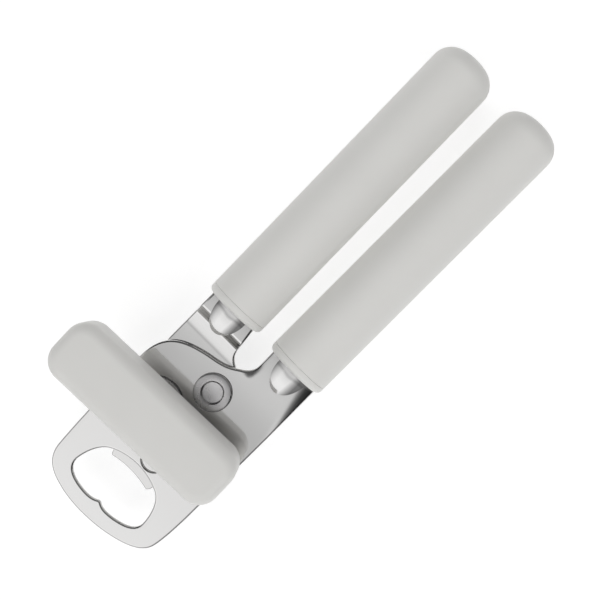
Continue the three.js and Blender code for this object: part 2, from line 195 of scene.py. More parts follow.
class OpenerSizes(bpy.types.PropertyGroup):
    """Sizes of the visible pieces, in millimetres."""

    plate_edge: FloatProperty(
        name="Plate edge",
        description="Radius of the rounded edges of both arms, in millimetres",
        default=0.88,
        min=0.1,
        max=0.95,
    )
    knob_edge: FloatProperty(
        name="Knob edge",
        description="Radius around the front and back of the knob, in millimetres",
        default=4.2,
        min=0.5,
        max=6.0,
    )
    knob_corner: FloatProperty(
        name="Knob corner",
        description="Radius of the knob's four corners, in millimetres",
        default=7.5,
        min=1.0,
        max=10.0,
    )
    grip_end: FloatProperty(
        name="Grip end",
        description="Radius around the far end of each grip, in millimetres",
        default=7.5,
        min=1.0,
        max=10.0,
    )
    around: IntProperty(
        name="Facets",
        description="Facets around a turned piece",
        default=96,
        min=24,
        max=256,
    )


class OpenerStage(bpy.types.PropertyGroup):
    """Camera and light."""

    field_of_view: FloatProperty(
        name="Field of view",
        description="Angle that the camera takes in",
        subtype="ANGLE",
        default=math.radians(33.0),
        min=math.radians(5.0),
        max=math.radians(90.0),
    )
    key_power: FloatProperty(
        name="Key power",
        description="Power of the large soft light beyond the nose",
        unit="POWER",
        default=3.2,
        min=0.0,
    )
    side_power: FloatProperty(
        name="Side power",
        description="Power of the soft light beside the lower handle",
        unit="POWER",
        default=3.6,
        min=0.0,
    )
    fill_power: FloatProperty(
        name="Fill power",
        description="Power of the soft light beyond the upper handle",
        unit="POWER",
        default=4.6,
        min=0.0,
    )
    floor_glow: FloatProperty(
        name="Floor glow",
        description="Light that the floor gives by itself",
        default=0.68,
        min=0.0,
    )


# -------------------------------------------------------------------------------------------------
# Outlines
# -------------------------------------------------------------------------------------------------


def path(start, *steps, resolution=16):
    """Points along an outline whose steps are (x, y) lines or six-number Bezier curves."""
    points = [Vector((*start, 0.0))]
    for step in steps:
        if len(step) == 2:
            points.append(Vector((*step, 0.0)))
            continue
        first, second, end = (Vector((*step[i : i + 2], 0.0)) for i in (0, 2, 4))
        points += interpolate_bezier(points[-1], first, second, end, resolution + 1)[1:]
    return [(point.x, point.y) for point in points]


def arc(centre, radius, start, end, steps=24):
    """Points on an arc, from one angle to another in degrees."""
    turns = (math.radians(start + (end - start) * step / steps) for step in range(steps + 1))
    return [(centre[0] + radius * math.cos(a), centre[1] + radius * math.sin(a)) for a in turns]


def circle(centre, radius, steps=64):
    """A full circle, without its closing point."""
    return arc(centre, radius, 0, 360, steps)[:-1]


def rounded(corners, steps=5):
    """A closed outline whose (x, y, radius) corners become arcs."""
    points = []
    for index, (x, y, radius) in enumerate(corners):
        corner = Vector((x, y))
        if radius == 0:
            points.append((x, y))
            continue
        back = (Vector(corners[index - 1][:2]) - corner).normalized()
        ahead = (Vector(corners[(index + 1) % len(corners)][:2]) - corner).normalized()
        half = back.angle(ahead) / 2
        centre = corner + (back + ahead).normalized() * radius / math.sin(half)
        arm = corner + back * radius / math.tan(half) - centre
        side = 1 if back.cross(ahead) < 0 else -1
        for step in range(steps + 1):
            turn = Matrix.Rotation(side * (math.pi - 2 * half) * step / steps, 2)
            place = centre + turn @ arm
            points.append((place.x, place.y))
    return points


def ease(start, end, value):
    """Rises smoothly from 0 at start to 1 at end."""
    share = min(1.0, max(0.0, (value - start) / (end - start)))
    return share * share * (3 - 2 * share)


# -------------------------------------------------------------------------------------------------
# Shapes
# -------------------------------------------------------------------------------------------------


def turned(profile, steps):
    """Spins an outline of (radius, height) points around Z. One that touches the axis isn't closed."""
    bm = bmesh.new()
    line = [bm.verts.new((radius, 0.0, height)) for radius, height in profile]
    for first, second in zip(line, line[1:]):
        bm.edges.new((first, second))
    if profile[0][0] > 0:
        bm.edges.new((line[-1], line[0]))
    bmesh.ops.spin(
        bm,
        geom=bm.verts[:] + bm.edges[:],
        cent=(0, 0, 0),
        axis=(0, 0, 1),
        dvec=(0, 0, 0),
        angle=2 * math.pi,
        steps=steps,
        use_merge=True,
        use_duplicate=False,
    )
    bmesh.ops.remove_doubles(bm, verts=bm.verts[:], dist=1e-4)
    bmesh.ops.recalc_face_normals(bm, faces=bm.faces[:])
    return bm


def disc(inner, outer, bottom, top, edge, steps):
    """A washer with rounded edges, or a full disc if inner is 0."""
    if inner == 0:
        profile = [(0.0, bottom)]
        profile += rounded([(0, bottom, 0), (outer, bottom, edge), (outer, top, edge), (0, top, 0)])[1:-1]
        profile.append((0.0, top))
    else:
        profile = rounded(
            [(inner, bottom, edge), (outer, bottom, edge), (outer, top, edge), (inner, top, edge)]
        )
    return turned(profile, steps)


def sheet(loops, bottom, top, edge, steps=5):
    """A flat sheet from its outer loop and its holes, with round edges front and back."""
    bm = bmesh.new()
    for loop in loops:
        ring = [bm.verts.new((x, y, 0.0)) for x, y in loop]
        for first, second in zip(ring, ring[1:] + ring[:1]):
            bm.edges.new((first, second))
    bmesh.ops.triangle_fill(
        bm, use_beauty=True, use_dissolve=False, edges=bm.edges[:], normal=(0, 0, 1)
    )
    middle = bm.faces[:]
    front = bmesh.ops.extrude_face_region(bm, geom=middle)["geom"]
    faces = [item for item in front if isinstance(item, bmesh.types.BMFace)]
    bmesh.ops.delete(bm, geom=middle, context="FACES")
    raise_faces(bm, faces, (top - bottom) / 2 - edge)
    for step in range(steps):
        before, after = (math.pi / 2 * count / steps for count in (step, step + 1))
        inset(bm, faces, edge * (math.cos(before) - math.cos(after)))
        raise_faces(bm, faces, edge * (math.sin(after) - math.sin(before)))
    inset(bm, faces, edge / 6)
    bmesh.ops.mirror(
        bm, geom=bm.verts[:] + bm.edges[:] + bm.faces[:], matrix=Matrix(), merge_dist=1e-5, axis="Z"
    )
    bmesh.ops.recalc_face_normals(bm, faces=bm.faces[:])
    bmesh.ops.translate(bm, vec=(0, 0, (top + bottom) / 2), verts=bm.verts[:])
    return bm


def inset(bm, faces, thickness):
    """Draws the edge of a patch of faces in."""
    bmesh.ops.inset_region(
        bm, faces=faces, thickness=thickness, depth=0, use_boundary=True, use_even_offset=True
    )


def raise_faces(bm, faces, rise):
    """Moves a patch of faces up."""
    patch = list({corner for face in faces for corner in face.verts})
    bmesh.ops.translate(bm, vec=(0, 0, rise), verts=patch)


def sliced(bm, axis, first, last, pitch, beyond):
    """Cuts a mesh with even planes square to an axis, where its X is beyond a place."""
    normal = Vector((0, 0, 0))
    normal[axis] = 1
    for step in range(round((last - first) / pitch) + 1):
        faces = [face for face in bm.faces if max(corner.co.x for corner in face.verts) > beyond]
        edges = {edge for face in faces for edge in face.edges}
        corners = {corner for face in faces for corner in face.verts}
        bmesh.ops.bisect_plane(
            bm,
            geom=[*corners, *edges, *faces],
            dist=1e-4,
            plane_co=normal * (first + pitch * step),
            plane_no=normal,
        )


def joined(*parts):
    """Several meshes as one."""
    whole = parts[0]
    for part in parts[1:]:
        spare = bpy.data.meshes.new("spare")
        part.to_mesh(spare)
        part.free()
        whole.from_mesh(spare)
        bpy.data.meshes.remove(spare)
    return whole


def moved(bm, place, turn=0.0):
    """Turns a mesh about Z and moves it."""
    matrix = Matrix.Translation(place) @ Matrix.Rotation(turn, 4, "Z")
    bmesh.ops.transform(bm, matrix=matrix, verts=bm.verts[:])
    return bm


def combined(bm, operation, *tools):
    """A mesh after Boolean steps with other closed meshes."""
    for tool_mesh in tools:
        objects = []
        for name, source in (("base", bm), ("tool", tool_mesh)):
            mesh = bpy.data.meshes.new(name)
            source.to_mesh(mesh)
            source.free()
            thing = bpy.data.objects.new(name, mesh)
            bpy.context.scene.collection.objects.link(thing)
            objects.append(thing)
        base, tool = objects
        step = base.modifiers.new("step", "BOOLEAN")
        step.operation = operation
        step.solver = "EXACT"
        step.object = tool
        bpy.context.view_layer.update()
        evaluated = base.evaluated_get(bpy.context.evaluated_depsgraph_get())
        bm = bmesh.new()
        bm.from_mesh(evaluated.to_mesh())
        evaluated.to_mesh_clear()
        for thing in objects:
            mesh = thing.data
            bpy.data.objects.remove(thing)
            bpy.data.meshes.remove(mesh)
    return bm


def carved(bm, *cutters):
    """A mesh with other closed meshes cut out of it."""
    return combined(bm, "DIFFERENCE", *cutters)


def box(low, high):
    """A plain block between two corners."""
    bm = bmesh.new()
    bmesh.ops.create_cube(bm, size=1.0)
    low, high = Vector(low), Vector(high)
    bmesh.ops.scale(bm, vec=high - low, verts=bm.verts[:])
    bmesh.ops.translate(bm, vec=(high + low) / 2, verts=bm.verts[:])
    return bm


def finish_piece(bm, name, body, material, replaced, crease=35.0):
    """Puts a mesh drawn in millimetres from the pivot in the model's frame, as a piece of it."""
    bmesh.ops.transform(
        bm, matrix=Matrix.Translation(PIVOT) @ Matrix.Scale(MM, 4), verts=bm.verts[:]
    )
    for face in bm.faces:
        face.smooth = True
    for edge in bm.edges:
        edge.smooth = edge.calc_face_angle(0.0) < math.radians(crease)
    mesh = bpy.data.meshes.new(name)
    bm.to_mesh(mesh)
    bm.free()
    mesh.materials.append(material)
    piece = bpy.data.objects.new(name, mesh)
    bpy.context.scene.collection.objects.link(piece)
    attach(piece, body)
    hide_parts(replaced)
    return piece


# -------------------------------------------------------------------------------------------------
# Node groups and materials
# -------------------------------------------------------------------------------------------------


def new_group(name, inputs, outputs):
    """An empty shader node group, its input node and its output node. It is made only once."""
    group = bpy.data.node_groups.new(name, "ShaderNodeTree")
    for label, kind, default in inputs:
        socket = group.interface.new_socket(label, in_out="INPUT", socket_type=kind)
        if default is not None:
            socket.default_value = default
    for label, kind in outputs:
        group.interface.new_socket(label, in_out="OUTPUT", socket_type=kind)
    return group, group.nodes.new("NodeGroupInput"), group.nodes.new("NodeGroupOutput")


def add_node(tree, kind, settings=None, **inputs):
    """A node with its settings and inputs. An input is a number, a colour or another node's socket."""
    node = tree.nodes.new(kind)
    for key, value in (settings or {}).items():
        setattr(node, key, value)
    for key, value in inputs.items():
        name = key.replace("_", " ")
        socket = node.inputs[int(key[1:])] if key[1:].isdigit() else node.inputs[name]
        if isinstance(value, bpy.types.NodeSocket):
            tree.links.new(value, socket)
        else:
            socket.default_value = value
    return node


def tone_group():
    """Lets a colour drift slightly lighter and darker in soft patches."""
    group, given, result = new_group(
        "Tone Drift",
        [
            ("Vector", "NodeSocketVector", None),
            ("Color", "NodeSocketColor", None),
            ("Scale", "NodeSocketFloat", 40.0),
            ("Spread", "NodeSocketFloat", 0.03),
        ],
        [("Color", "NodeSocketColor")],
    )
    noise = add_node(
        group, "ShaderNodeTexNoise", Vector=given.outputs["Vector"], Scale=given.outputs["Scale"],
        Detail=3.0,
    )
    centred = add_node(group, "ShaderNodeMath", {"operation": "SUBTRACT"}, _0=noise.outputs["Fac"], _1=0.5)
    swing = add_node(
        group, "ShaderNodeMath", {"operation": "MULTIPLY_ADD"}, _0=centred.outputs[0],
        _1=given.outputs["Spread"], _2=1.0,
    )
    scaled = add_node(
        group, "ShaderNodeVectorMath", {"operation": "SCALE"}, _0=given.outputs["Color"],
        Scale=swing.outputs[0],
    )
    group.links.new(scaled.outputs["Vector"], result.inputs["Color"])
    return group


def grain_group():
    """Fine even grain: a roughness between two values, and a height for a bump."""
    group, given, result = new_group(
        "Fine Grain",
        [
            ("Vector", "NodeSocketVector", None),
            ("Scale", "NodeSocketFloat", 3000.0),
            ("Smoothest", "NodeSocketFloat", 0.4),
            ("Roughest", "NodeSocketFloat", 0.5),
        ],
        [("Roughness", "NodeSocketFloat"), ("Height", "NodeSocketFloat")],
    )
    fine = add_node(
        group, "ShaderNodeTexNoise", Vector=given.outputs["Vector"], Scale=given.outputs["Scale"],
        Detail=2.0,
    )
    wide = add_node(
        group, "ShaderNodeMath", {"operation": "MULTIPLY"}, _0=given.outputs["Scale"], _1=0.05
    )
    patches = add_node(
        group, "ShaderNodeTexNoise", Vector=given.outputs["Vector"], Scale=wide.outputs[0], Detail=2.0
    )
    spread = add_node(
        group, "ShaderNodeMapRange", Value=patches.outputs["Fac"],
        To_Min=given.outputs["Smoothest"], To_Max=given.outputs["Roughest"],
    )
    spread.inputs["From Min"].default_value = 0.3
    spread.inputs["From Max"].default_value = 0.7
    group.links.new(spread.outputs["Result"], result.inputs["Roughness"])
    group.links.new(fine.outputs["Fac"], result.inputs["Height"])
    return group


def lines_group():
    """Fine lines left by grinding or polishing, along X of the vector that it is given."""
    group, given, result = new_group(
        "Ground Lines",
        [
            ("Vector", "NodeSocketVector", None),
            ("Scale", "NodeSocketFloat", 2500.0),
            ("Stretch", "NodeSocketFloat", 0.02),
        ],
        [("Height", "NodeSocketFloat")],
    )
    stretch = add_node(group, "ShaderNodeCombineXYZ", X=given.outputs["Stretch"], Y=1.0, Z=1.0)
    drawn = add_node(
        group, "ShaderNodeVectorMath", {"operation": "MULTIPLY"}, _0=given.outputs["Vector"],
        _1=stretch.outputs[0],
    )
    noise = add_node(
        group, "ShaderNodeTexNoise", Vector=drawn.outputs[0], Scale=given.outputs["Scale"], Detail=2.0
    )
    group.links.new(noise.outputs["Fac"], result.inputs["Height"])
    return group


def rings_group():
    """Fine turned lines around Z of the vector that it is given."""
    group, given, result = new_group(
        "Turned Rings",
        [
            ("Vector", "NodeSocketVector", None),
            ("Scale", "NodeSocketFloat", 900.0),
        ],
        [("Height", "NodeSocketFloat")],
    )
    rings = add_node(
        group, "ShaderNodeTexWave", {"wave_type": "RINGS", "rings_direction": "Z"},
        Vector=given.outputs["Vector"], Scale=given.outputs["Scale"], Distortion=1.5, Detail=2.0,
        Detail_Scale=0.4,
    )
    group.links.new(rings.outputs["Fac"], result.inputs["Height"])
    return group


GROUP_MAKERS = {
    "Tone Drift": tone_group,
    "Fine Grain": grain_group,
    "Ground Lines": lines_group,
    "Turned Rings": rings_group,
}


def use_group(tree, name, **inputs):
    """Places a shared node group, made the first time that it is used."""
    group = bpy.data.node_groups.get(name) or GROUP_MAKERS[name]()
    node = tree.nodes.new("ShaderNodeGroup")
    node.node_tree = group
    for key, value in inputs.items():
        if isinstance(value, bpy.types.NodeSocket):
            tree.links.new(value, node.inputs[key])
        else:
            node.inputs[key].default_value = value
    return node


def new_material(name):
    """A material with its shader, and the sockets that its pattern reads."""
    material = bpy.data.materials.new(name)
    material.use_nodes = True
    tree = material.node_tree
    shader = tree.nodes["Principled BSDF"]
    place = tree.nodes.new("ShaderNodeTexCoord")
    return material, tree, shader, place.outputs["Object"]


def bump(tree, shader, height, distance):
    """Feeds a height to the shader's normal. The distance is in metres."""
    node = add_node(tree, "ShaderNodeBump", Strength=1.0, Distance=distance, Height=height)
    tree.links.new(node.outputs["Normal"], shader.inputs["Normal"])


def drifting_colour(tree, shader, vector, colour, scale, spread):
    """Feeds a colour that drifts in soft patches to the shader."""
    tone = use_group(tree, "Tone Drift", Vector=vector, Color=(*colour, 1.0), Scale=scale, Spread=spread)
    tree.links.new(tone.outputs["Color"], shader.inputs["Base Color"])


def soft_touch(colours):
    """Satin rubbery coat of the grips and the knob."""
    material, tree, shader, place = new_material("soft_touch_coat")
    drifting_colour(tree, shader, place, colours.soft, 55.0, 0.045)
    grain = use_group(tree, "Fine Grain", Vector=place, Scale=5200.0, Smoothest=0.46, Roughest=0.60)
    tree.links.new(grain.outputs["Roughness"], shader.inputs["Roughness"])
    bump(tree, shader, grain.outputs["Height"], 12 * MICRON)
    shader.inputs["Specular IOR Level"].default_value = 0.35
    shader.inputs["Sheen Weight"].default_value = 0.12
    shader.inputs["Sheen Roughness"].default_value = 0.5
    return material


def moulded_nylon(colours):
    """Light grey moulded nylon of the stiff inserts."""
    material, tree, shader, place = new_material("moulded_nylon")
    drifting_colour(tree, shader, place, colours.nylon, 90.0, 0.06)
    grain = use_group(tree, "Fine Grain", Vector=place, Scale=3500.0, Smoothest=0.34, Roughest=0.5)
    tree.links.new(grain.outputs["Roughness"], shader.inputs["Roughness"])
    bump(tree, shader, grain.outputs["Height"], 20 * MICRON)
    return material


def polished_steel(colours):
    """Mirror-polished stainless sheet, with the faint drag of the polishing wheel."""
    material, tree, shader, place = new_material("polished_sheet")
    drifting_colour(tree, shader, place, colours.polished, 35.0, 0.03)
    grain = use_group(tree, "Fine Grain", Vector=place, Scale=1400.0, Smoothest=0.06, Roughest=0.09)
    tree.links.new(grain.outputs["Roughness"], shader.inputs["Roughness"])
    lines = use_group(tree, "Ground Lines", Vector=place, Scale=1800.0, Stretch=0.03)
    bump(tree, shader, lines.outputs["Height"], 0.6 * MICRON)
    shader.inputs["Metallic"].default_value = 1.0
    return material


def turned_steel(name, colours, axis):
    """Steel turned on a lathe, with fine rings around an axis that runs along Z."""
    material, tree, shader, place = new_material(name)
    centre = PIVOT + axis * MM
    centred = add_node(
        tree, "ShaderNodeMapping", {"vector_type": "POINT"}, Vector=place, Location=-centre
    )
    drifting_colour(tree, shader, place, colours.turned, 260.0, 0.08)
    grain = use_group(tree, "Fine Grain", Vector=place, Scale=2600.0, Smoothest=0.22, Roughest=0.32)
    tree.links.new(grain.outputs["Roughness"], shader.inputs["Roughness"])
    rings = use_group(tree, "Turned Rings", Vector=centred.outputs[0], Scale=1100.0)
    bump(tree, shader, rings.outputs["Height"], 3 * MICRON)
    shader.inputs["Metallic"].default_value = 1.0
    return material


def tool_steel(colours):
    """Hardened steel, ground and slightly dull."""
    material, tree, shader, place = new_material("ground_tool_steel")
    drifting_colour(tree, shader, place, colours.tool, 300.0, 0.12)
    grain = use_group(tree, "Fine Grain", Vector=place, Scale=2400.0, Smoothest=0.28, Roughest=0.42)
    tree.links.new(grain.outputs["Roughness"], shader.inputs["Roughness"])
    lines = use_group(tree, "Ground Lines", Vector=place, Scale=3000.0, Stretch=0.05)
    bump(tree, shader, lines.outputs["Height"], 8 * MICRON)
    shader.inputs["Metallic"].default_value = 1.0
    return material


def steel_around(axis_name, axis):
    """The turned steel of one axis, made the first time that it is used."""
    name = f"turned_steel_{axis_name}"
    colours = bpy.context.scene.can_opener_colours
    return bpy.data.materials.get(name) or turned_steel(name, colours, axis)


def material_named(name, maker):
    """A material of the opener, made the first time that it is used."""
    return bpy.data.materials.get(name) or maker(bpy.context.scene.can_opener_colours)


# -------------------------------------------------------------------------------------------------
# Handles
# -------------------------------------------------------------------------------------------------


@cache
def handle_mouth(side):
    """Middle of the plate end of a handle."""
    low, high = extent(f"{side}_handle_collar")
    middle = (low + high) / 2
    turn = HANDLE_TURN[side]
    back = Vector((math.cos(turn), math.sin(turn), 0)) * COLLAR_LENGTH / 2
    return Vector((middle.x, middle.y, 0)) - back


def at_handle(side, along, across):
    """A point given along and across a handle, from its mouth."""
    turn = HANDLE_TURN[side]
    place = handle_mouth(side) + Matrix.Rotation(turn, 3, "Z") @ Vector((along, across, 0))
    return place.x, place.y


def along_handle(bm, side):
    """Lays a shape drawn up Z along a handle, from its mouth."""
    lay = Matrix.Rotation(math.pi / 2, 4, "Y")
    bmesh.ops.transform(bm, matrix=lay, verts=bm.verts[:])
    return moved(bm, handle_mouth(side), HANDLE_TURN[side])


def handle_radius():
    """Radius of a grip."""
    bottom, top = heights("lower_handle_grip")
    return (top - bottom) / 2


def handle_length():
    """Length of a handle from its mouth to the crown of its far end."""
    high = extent("lower_handle_grip")[1]
    return high.x - handle_mouth("lower").x


def grip(side, sizes):
    """Long soft grip with a crowned, round-cornered far end and an open bore."""
    radius, length = handle_radius(), handle_length()
    crown = 0.8
    bore, bore_end = 9.4, length - 7
    start = COLLAR_LENGTH + SEAM
    end = sizes.grip_end
    arc_end = arc((radius - end, length - crown - end), end, 0, 84, 18)
    profile = [(bore, bore_end), (bore, start)]
    profile += rounded([(bore, start, 0), (radius, start, SEAM_EDGE), (radius, length / 2, 0)])[1:]
    profile += arc_end
    last_radius, last_height = arc_end[-1]
    crown_steps = 8
    for step in range(1, crown_steps):
        share = step / crown_steps
        rise = (length - last_height) * (1 - (1 - share) ** 2)
        profile.append((last_radius * (1 - share), last_height + rise))
    profile = [(0.0, bore_end), *profile, (0.0, length)]
    return along_handle(turned(profile, sizes.around), side)


def collar(side, sizes):
    """Ring that closes the plate end of a handle, slotted for the tang and its shoulders."""
    radius = handle_radius()
    mouth_edge = 1.8
    outline = [
        (0, 0, 0),
        (radius, 0, mouth_edge),
        (radius, COLLAR_LENGTH, SEAM_EDGE),
        (0, COLLAR_LENGTH, 0),
    ]
    body = along_handle(turned(rounded(outline, 8), sizes.around), side)
    half_sheet = SHEET / 2 + GAP
    shoulder = TANG["shoulder_half_width"] + GAP
    strip = TANG["half_width"] + GAP
    mouth = box((-1, -shoulder, -half_sheet), (TANG["shoulder"] + GAP, shoulder, half_sheet))
    room = box((-1, -strip, -half_sheet), (COLLAR_LENGTH + 1, strip, CHANNEL["height"] + GAP))
    place = handle_mouth(side), HANDLE_TURN[side]
    return carved(body, moved(mouth, *place), moved(room, *place))


class OPENER_OT_handles(bpy.types.Operator):
    """Makes the soft grips and their collars, and gives the stiff inserts their material"""

    bl_idname = "can_opener.handles"
    bl_label = "Handles"

    def execute(self, context):
        sizes = context.scene.can_opener_sizes
        coat = material_named("soft_touch_coat", soft_touch)
        for side, body in HANDLE_BODY.items():
            finish_piece(
                grip(side, sizes), f"{side}_grip_coat", body, coat, f"{side}_handle_grip"
            )
            finish_piece(
                collar(side, sizes), f"{side}_collar_coat", body, coat,
                f"{side}_handle_collar",
            )
            core = frame["nodes"][f"{side}_handle_core"]
            core.data.materials.clear()
            core.data.materials.append(material_named("moulded_nylon", moulded_nylon))
        return {"FINISHED"}


# -------------------------------------------------------------------------------------------------
# Arms
# -------------------------------------------------------------------------------------------------


def channel(side, wall, floor):
    """Solid under the round-nosed channel of a tang: low-crowned above, and flat at its floor."""
    half_width = CHANNEL["half_width"] - wall
    nose, mouth = CHANNEL["nose"] - wall, CHANNEL["front"] + CHANNEL["nose"]
    rim = SHEET / 2 - CHANNEL["sunk"]
    crown = CHANNEL["height"] - rim
    nose_steps, side_steps = 24, 32
    rows = [math.cos(math.pi / 2 * step / nose_steps) for step in range(nose_steps + 1)]
    places = [(mouth - nose * to_tip, to_tip) for to_tip in rows] + [(TANG["length"] - 1, 0.0)]
    bm = bmesh.new()
    top, bottom = [], []
    for along, to_tip in places:
        narrowing = math.sqrt(1 - to_tip**2)
        top.append([])
        bottom.append([])
        for step in range(side_steps + 1):
            across = -math.cos(math.pi * step / side_steps) * narrowing
            reach = math.hypot(to_tip, across)
            height = rim + crown * (1 - reach ** CHANNEL["flatness"]) - wall
            top[-1].append(bm.verts.new((along, across * half_width, height)))
            bottom[-1].append(bm.verts.new((along, across * half_width, floor)))
    for grid in (top, bottom):
        for row, ahead in zip(grid, grid[1:]):
            for step in range(side_steps):
                bm.faces.new((row[step], ahead[step], ahead[step + 1], row[step + 1]))
    left_wall, right_wall = ([[row[end] for row in grid] for grid in (top, bottom)] for end in (0, -1))
    for upper, lower in (left_wall, right_wall, (top[-1], bottom[-1])):
        for step in range(len(upper) - 1):
            bm.faces.new((upper[step], upper[step + 1], lower[step + 1], lower[step]))
    bmesh.ops.remove_doubles(bm, verts=bm.verts[:], dist=1e-5)
    bmesh.ops.recalc_face_normals(bm, faces=bm.faces[:])
    return moved(bm, handle_mouth(side), HANDLE_TURN[side])


def channelled(arm, side):
    """An arm with the channel of its tang raised out of it, and hollow behind."""
    skin = 0.1
    arm = combined(arm, "UNION", channel(side, 0.0, skin - SHEET / 2))
    return carved(arm, channel(side, CHANNEL["wall"], -SHEET))


def tang_outline(side):
    """The stretch of an outline that runs into a handle, from its upper shoulder to its lower one."""
    shoulder, end, half = TANG["shoulder"], TANG["length"], TANG["half_width"]
    corners = ((shoulder, half), (end, half), (end, -half), (shoulder, -half))
    return [at_handle(side, *corner) for corner in corners]


def front_outline():
    """Nose, S-shaped edge and shoulders of the front arm, with its tang."""
    mouth = handle_mouth("lower")
    shoulder = mouth.x + TANG["shoulder"]
    outline = path(
        (shoulder, mouth.y - TANG["shoulder_half_width"]),
        (-38.6, -25.2),
        (-45.7, -25.0, -50.9, -24.7, -54.3, -23.8),
        (-58.4, -22.4, -60.3, -18.0, -61.5, -14.0),
        (-64.4, -4.6, -64.7, 8.1, -62.1, 16.2),
        (-60.5, 21.9, -57.8, 25.2, -52.5, 26.0),
        (-45.7, 26.6, -30.4, 27.4, -9.1, 27.5),
        (3.6, 27.5, 6.3, 19.9, 8.4, 11.0),
        (9.2, 6.6, 9.6, 3.6, 11.7, 0.4),
        (13.7, -2.6, 14.7, -4.9, 18.6, -4.9),
        (shoulder, -4.7),
    )
    return outline + tang_outline("lower")


def cap_opening():
    """Opening of the bottle opener: a rounded loop with a small catch in its left side."""
    return path(
        (-51.2, 17.4),
        (-46.3, 16.8, -41.3, 14.5, -39.8, 10.9),
        (-36.8, 5.0, -36.7, -3.0, -39.5, -9.1),
        (-41.0, -13.7, -46.8, -15.1, -50.9, -15.3),
        (-54.9, -15.3, -56.2, -10.5, -56.9, -6.7),
        (-57.4, -3.2, -57.4, -1.4, -56.2, 0.4),
        (-56.0, 0.8, -56.0, 1.4, -56.2, 1.8),
        (-57.6, 4.0, -57.5, 6.7, -57.0, 10.1),
        (-56.4, 13.5, -55.2, 17.4, -51.2, 17.4),
        resolution=10,
    )[:-1]


def rim_guide_hole():
    """The round hole that the rim guide's tab was pushed out of, straight at the tab's root."""
    reach = math.degrees(math.acos(RIM_GUIDE["root"] / RIM_GUIDE["hole"]))
    outline = arc((RIM_GUIDE["x"], RIM_GUIDE["y"]), RIM_GUIDE["hole"], reach, 360 - reach, 48)
    return sheet([outline], -SHEET, SHEET, 0.2, 1)


def rim_guide_tab():
    """Tab pushed back out of the plate, bent at its root."""
    half_root = RIM_GUIDE["half_root"]
    overlap, bend_start, bend_end = 1.6, 3.6, 0.9
    middle = RIM_GUIDE["x"], RIM_GUIDE["y"]
    reach = math.degrees(math.asin(half_root / RIM_GUIDE["tab"]))
    root = RIM_GUIDE["x"] + RIM_GUIDE["root"] + overlap
    outline = arc(middle, RIM_GUIDE["tab"], reach, 360 - reach, 30)
    outline += [(root, middle[1] - half_root), (root, middle[1] + half_root)]
    tab = sheet([outline], -SHEET / 2 + 0.1, SHEET / 2 - 0.1, 0.4, 3)
    sliced(tab, 0, middle[0], root, 0.3, -math.inf)
    for corner in tab.verts:
        corner.co.z -= RIM_GUIDE["drop"] * (1 - ease(root - bend_start, root - bend_end, corner.co.x))
    return tab


def cap_lip():
    """Lip that hooks under a bottle cap, set back along the right of the opening."""
    outline = path(
        (-41.8, 9.5),
        (-40.5, 4.6, -40.5, -2.0, -42.0, -7.5),
        (-41.4, -8.6, -39.8, -9.2, -38.2, -8.8),
        (-36.9, -6.5),
        (-36.9, 7.6),
        (-38.2, 10.4),
        (-39.8, 10.9, -41.2, 10.6, -41.8, 9.5),
    )[:-1]
    depth, overlap, edge = 1.4, 0.25, 0.45
    return sheet([outline], -SHEET / 2 - depth, -SHEET / 2 + overlap, edge, 4)


# The front arm's two long edges roll back between these places along it, and ease off at the handle.
ROLL_START, ROLL_FULL, ROLL_END = 2.0, 25.0, 29.0


def roll_depth(x, y):
    """How far the front arm's long edges have rolled back at a place."""
    lower_edge, slot_edge = -25.3, -4.8
    narrow, widening, slot_width, slot_depth = 2.0, 3.6, 2.6, 0.5
    share = min(1.0, max(0.0, (x - ROLL_START) / (ROLL_FULL - ROLL_START)))
    width = narrow + widening * share
    roll_low = share**0.8 * width / 4 * max(0.0, 1 - (y - lower_edge) / width) ** 2
    nearness = min(1.0, max(0.0, 1 - (slot_edge - y) / slot_width))
    roll_slot = ease(12.0, 20.0, x) * slot_depth * nearness**2
    return (roll_low + roll_slot) * (1 - 0.5 * ease(ROLL_FULL, ROLL_END, x))


def front_sheet(sizes):
    """The front arm: flat nose, low channel at the handle, and edges that roll back beside it."""
    outlines = [front_outline(), cap_opening()]
    arm = sheet(outlines, -SHEET / 2, SHEET / 2, sizes.plate_edge, ARM_EDGE_STEPS)
    sliced(arm, 0, ROLL_START, ROLL_END, 1.0, ROLL_START)
    for lowest, highest in ((-24.9, -18.9), (-7.6, -5.2)):
        sliced(arm, 1, lowest, highest, 0.4, ROLL_START + 0.1)
    for corner in arm.verts:
        corner.co.z -= roll_depth(corner.co.x, corner.co.y)
    arm = carved(channelled(arm, "lower"), rim_guide_hole())
    return joined(arm, cap_lip(), rim_guide_tab())


def rear_outline():
    """Handle end, pivot boss and jaw of the rear arm, with its tang."""
    shoulder = handle_mouth("upper").x + TANG["shoulder"]
    top = 24.9
    jaw = 6.3
    boss = jaw - CUTTER.y
    jaw_end = 79.2
    outline = path((shoulder, 5.5), (17.6, 4.3), (14.6, 4.0, 13.4, 3.2, 12.0, 0.8))
    outline += arc((0, 0), boss, 0, -90, 18)
    outline += arc((CUTTER.x, CUTTER.y), jaw, -90, jaw_end - 360, 30)
    outline += path(
        outline[-1],
        (-9.5, 4.8, -3.2, 8.6, -2.2, 16.0),
        (-1.8, 21.0, -2.0, top, 3.0, top),
        (shoulder, top),
    )[1:]
    return outline[::-1] + list(reversed(tang_outline("upper")))


def step_rise(x):
    """How far the rear arm has come forward at a place, with a long soft toe before its bend."""
    toe, toe_start, bend_start, bend_end = 0.25, 10.5, 15.8, 19.8
    bend = (1 - toe) * ease(bend_start, bend_end, x)
    return SHEET_STEP * (toe * ease(toe_start, bend_end, x) + bend)


